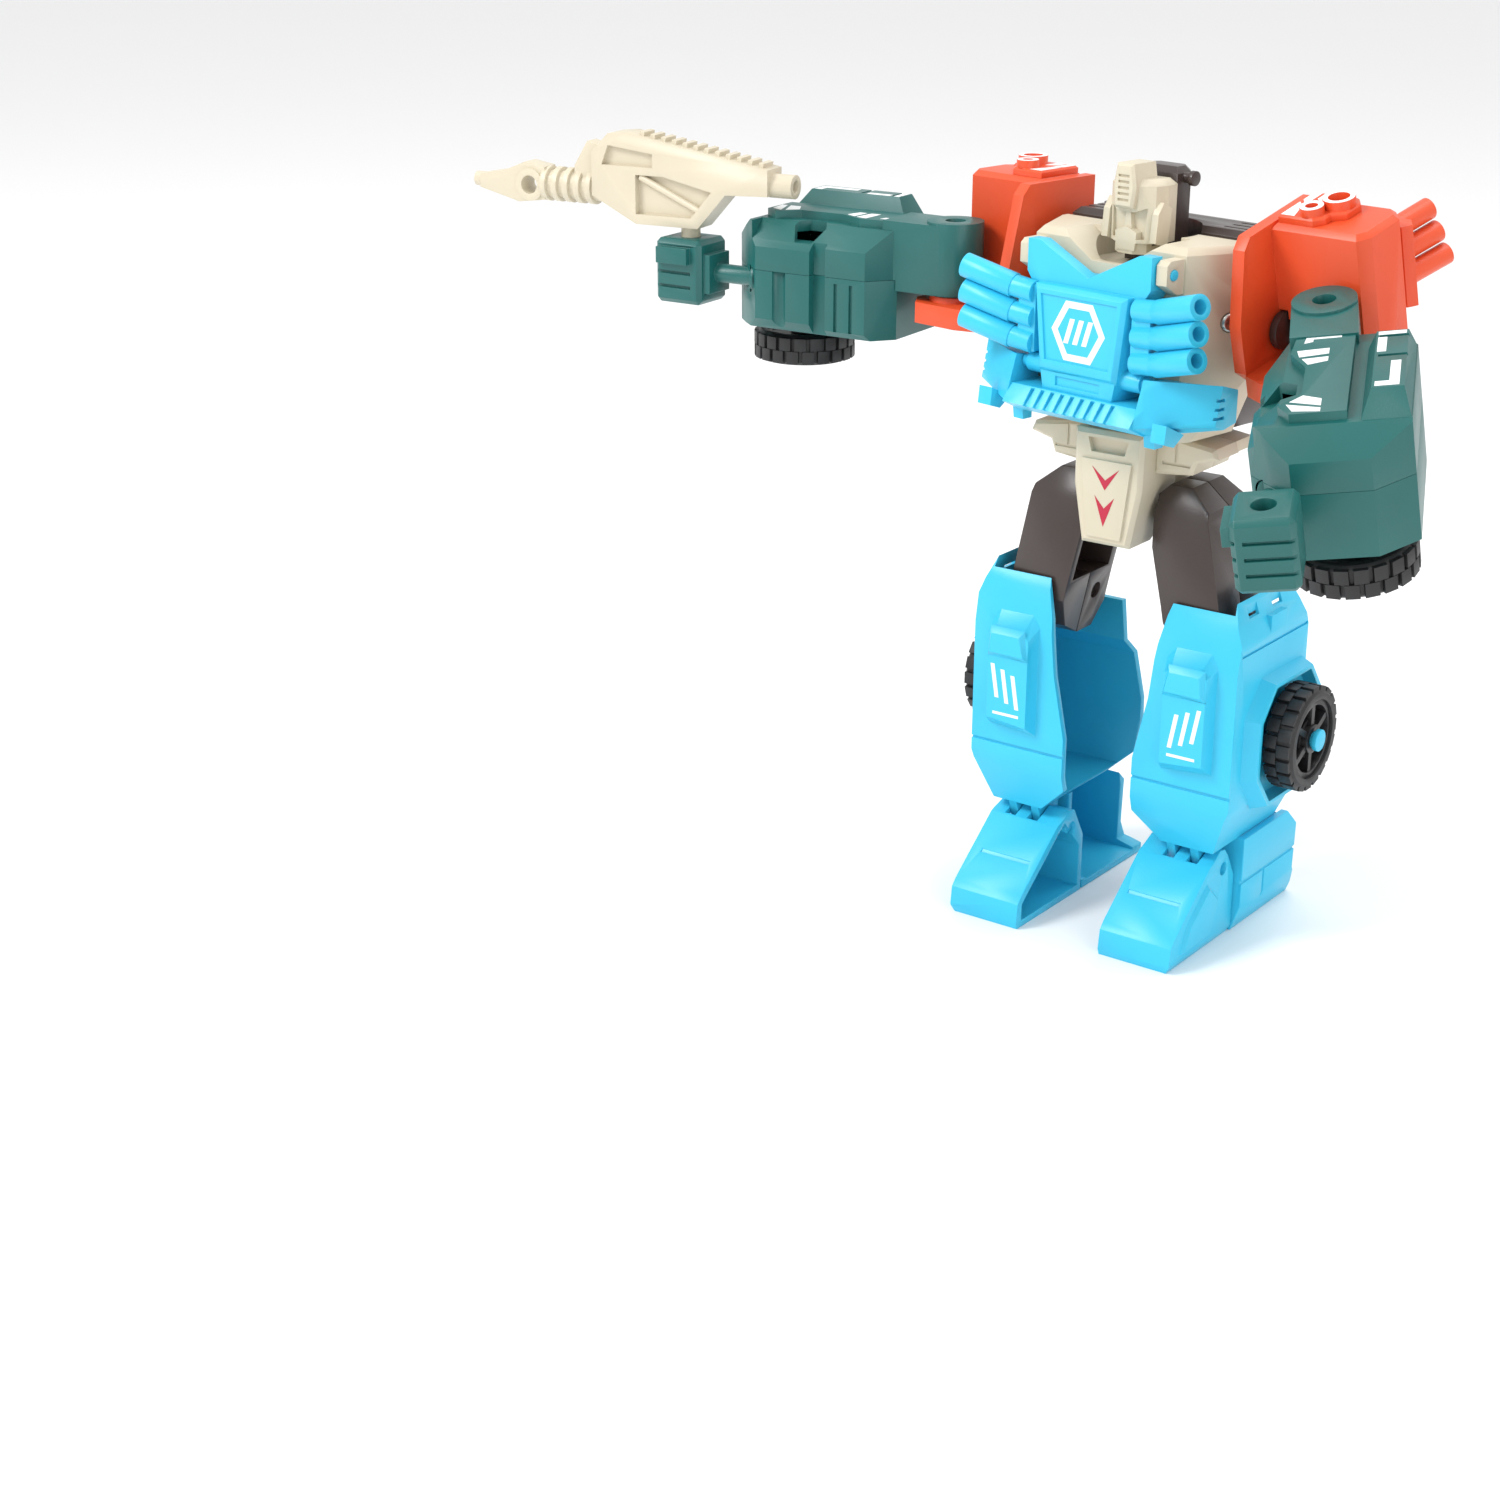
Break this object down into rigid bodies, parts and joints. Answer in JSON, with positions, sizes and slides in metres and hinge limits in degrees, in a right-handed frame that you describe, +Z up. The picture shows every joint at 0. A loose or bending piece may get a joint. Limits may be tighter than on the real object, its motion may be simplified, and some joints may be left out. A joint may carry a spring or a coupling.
{
  "type": "transforming robot car toy",
  "caption": "Poseable robot toy that folds into a car: blue chest hood and shins, green forearms with wheels, orange shoulders, cream blaster.",
  "frame": {"origin": "on the floor under the middle of the standing model's bounding box", "axes": "+Z up, the robot faces -Y, its left side is +X"},
  "size_m": [0.2852, 0.136, 0.186],
  "materials": {
    "blue": "satin",
    "cream": "satin",
    "brown": "satin",
    "orange": "satin",
    "green": "satin",
    "tyre": "matte",
    "hub": "satin",
    "steel": "satin"
  },
  "bodies": {
    "torso": {"chest_front": "cream", "chest_back": "brown", "canopy": "brown", "chest_screws": "steel", "fold_pins": "brown", "hood_pins": "blue"},
    "head": {"head_face": "cream", "head_back": "brown"},
    "hood": {"hood": "blue", "exhaust_pipes": "blue", "bumper": "blue"},
    "pelvis": {"pelvis_front": "cream", "pelvis_back": "cream", "waist_post": "brown", "hip_pin": "brown"},
    "left_link": {"left_arm_link": "brown", "left_pitch_pin": "brown"},
    "left_shoulder": {"left_shoulder_shell": "orange", "left_shoulder_cap": "orange", "left_shoulder_exhaust": "orange", "left_arm_pin": "green"},
    "left_arm": {"left_arm_base": "green", "left_arm_cover": "green", "left_arm_axle": "green"},
    "left_fist": {"left_fist": "green"},
    "left_arm_wheel": {"left_arm_tyre": "tyre", "left_arm_hub": "hub"},
    "left_thigh": {"left_thigh_front": "brown", "left_thigh_back": "brown", "left_knee_pin": "brown"},
    "left_shin": {"left_shin": "blue", "left_heel": "blue", "left_ankle_pin": "blue", "left_leg_axle": "blue"},
    "left_toe": {"left_toe": "blue"},
    "left_leg_wheel": {"left_leg_tyre": "tyre", "left_leg_hub": "hub"},
    "right_link": {"right_arm_link": "brown", "right_pitch_pin": "brown"},
    "right_shoulder": {"right_shoulder_shell": "orange", "right_shoulder_cap": "orange", "right_shoulder_exhaust": "orange", "right_arm_pin": "green"},
    "right_arm": {"right_arm_base": "green", "right_arm_cover": "green", "right_arm_axle": "green"},
    "right_fist": {"right_fist": "green"},
    "right_arm_wheel": {"right_arm_tyre": "tyre", "right_arm_hub": "hub"},
    "right_thigh": {"right_thigh_front": "brown", "right_thigh_back": "brown", "right_knee_pin": "brown"},
    "right_shin": {"right_shin": "blue", "right_heel": "blue", "right_ankle_pin": "blue", "right_leg_axle": "blue"},
    "right_toe": {"right_toe": "blue"},
    "right_leg_wheel": {"right_leg_tyre": "tyre", "right_leg_hub": "hub"},
    "blaster": {"blaster": "cream"}
  },
  "joints": [
    {"name": "waist_turn", "type": "hinge", "parent": "torso", "child": "pelvis", "pos_m": [0.04962, 0.02686, 0.128], "axis": [0, 0, 1], "range_deg": [-20, 20]},
    {"name": "head_turn", "type": "hinge", "parent": "torso", "child": "head", "pos_m": [0.0491, 0.0239, 0.166], "axis": [0, 0, 1], "range_deg": [-60, 60]},
    {"name": "hood_swing", "type": "hinge", "parent": "torso", "child": "hood", "pos_m": [0.04604, 0.00657, 0.1646], "axis": [0.9848, -0.1736, 0], "range_deg": [-70, 0]},
    {"name": "left_arm_fold", "type": "hinge", "parent": "torso", "child": "left_link", "pos_m": [0.08293, 0.0419, 0.1575], "axis": [0, 0, 1], "range_deg": [0, 45]},
    {"name": "left_shoulder_pitch", "type": "hinge", "parent": "left_link", "child": "left_shoulder", "pos_m": [0.08369, 0.02085, 0.152], "axis": [0.9848, -0.1736, 0], "range_deg": [-32, 26]},
    {"name": "left_arm_swing", "type": "hinge", "parent": "left_shoulder", "child": "left_arm", "pos_m": [0.10295, 0.00972, 0.14774], "axis": [-0.0479, -0.2714, 0.9613], "range_deg": [-27, 63]},
    {"name": "left_wrist_turn", "type": "hinge", "parent": "left_arm", "child": "left_fist", "pos_m": [0.11924, -0.04806, 0.13015], "axis": [0.3803, -0.8948, -0.2338], "range_deg": [-60, 60]},
    {"name": "left_arm_wheel_spin", "type": "hinge", "parent": "left_arm", "child": "left_arm_wheel", "pos_m": [0.12734, -0.02468, 0.11801], "axis": [-0.0479, -0.2714, 0.9613], "continuous": true},
    {"name": "left_hip_swing", "type": "hinge", "parent": "pelvis", "child": "left_thigh", "pos_m": [0.06662, 0.02586, 0.103], "axis": [1, 0, 0], "range_deg": [-60, 15]},
    {"name": "left_knee_bend", "type": "hinge", "parent": "left_thigh", "child": "left_shin", "pos_m": [0.07362, 0.03086, 0.079], "axis": [1, 0, 0], "range_deg": [0, 65]},
    {"name": "left_toe_tilt", "type": "hinge", "parent": "left_shin", "child": "left_toe", "pos_m": [0.07162, 0.02086, 0.019], "axis": [1, 0, 0], "range_deg": [-18, 0]},
    {"name": "left_leg_wheel_spin", "type": "hinge", "parent": "left_shin", "child": "left_leg_wheel", "pos_m": [0.09162, 0.03436, 0.052], "axis": [1, 0, 0], "continuous": true},
    {"name": "right_arm_fold", "type": "hinge", "parent": "torso", "child": "right_link", "pos_m": [0.02345, 0.05239, 0.1575], "axis": [0, 0, 1], "range_deg": [-45, 0]},
    {"name": "right_shoulder_pitch", "type": "hinge", "parent": "right_link", "child": "right_shoulder", "pos_m": [0.01554, 0.03286, 0.152], "axis": [0.9848, -0.1736, 0], "range_deg": [-16, 42]},
    {"name": "right_arm_swing", "type": "hinge", "parent": "right_shoulder", "child": "right_arm", "pos_m": [-0.00652, 0.02812, 0.15], "axis": [0, 0, 1], "range_deg": [-19, 71]},
    {"name": "right_wrist_turn", "type": "hinge", "parent": "right_arm", "child": "right_fist", "pos_m": [-0.06781, 0.01582, 0.148], "axis": [0.9976, 0.0698, 0], "range_deg": [0, 25]},
    {"name": "right_arm_wheel_spin", "type": "hinge", "parent": "right_arm", "child": "right_arm_wheel", "pos_m": [-0.05382, 0.03083, 0.1296], "axis": [0, 0, 1], "continuous": true},
    {"name": "right_hip_swing", "type": "hinge", "parent": "pelvis", "child": "right_thigh", "pos_m": [0.03262, 0.02586, 0.103], "axis": [1, 0, 0], "range_deg": [-60, 15]},
    {"name": "right_knee_bend", "type": "hinge", "parent": "right_thigh", "child": "right_shin", "pos_m": [0.02562, 0.03086, 0.079], "axis": [1, 0, 0], "range_deg": [0, 65]},
    {"name": "right_toe_tilt", "type": "hinge", "parent": "right_shin", "child": "right_toe", "pos_m": [0.02762, 0.02086, 0.019], "axis": [1, 0, 0], "range_deg": [-18, 0]},
    {"name": "right_leg_wheel_spin", "type": "hinge", "parent": "right_shin", "child": "right_leg_wheel", "pos_m": [0.00762, 0.03436, 0.052], "axis": [1, 0, 0], "continuous": true},
    {"name": "blaster_turn", "type": "hinge", "parent": "right_fist", "child": "blaster", "pos_m": [-0.07878, 0.01505, 0.152], "axis": [0, 0, 1], "range_deg": [-20, 20]}
  ]
}
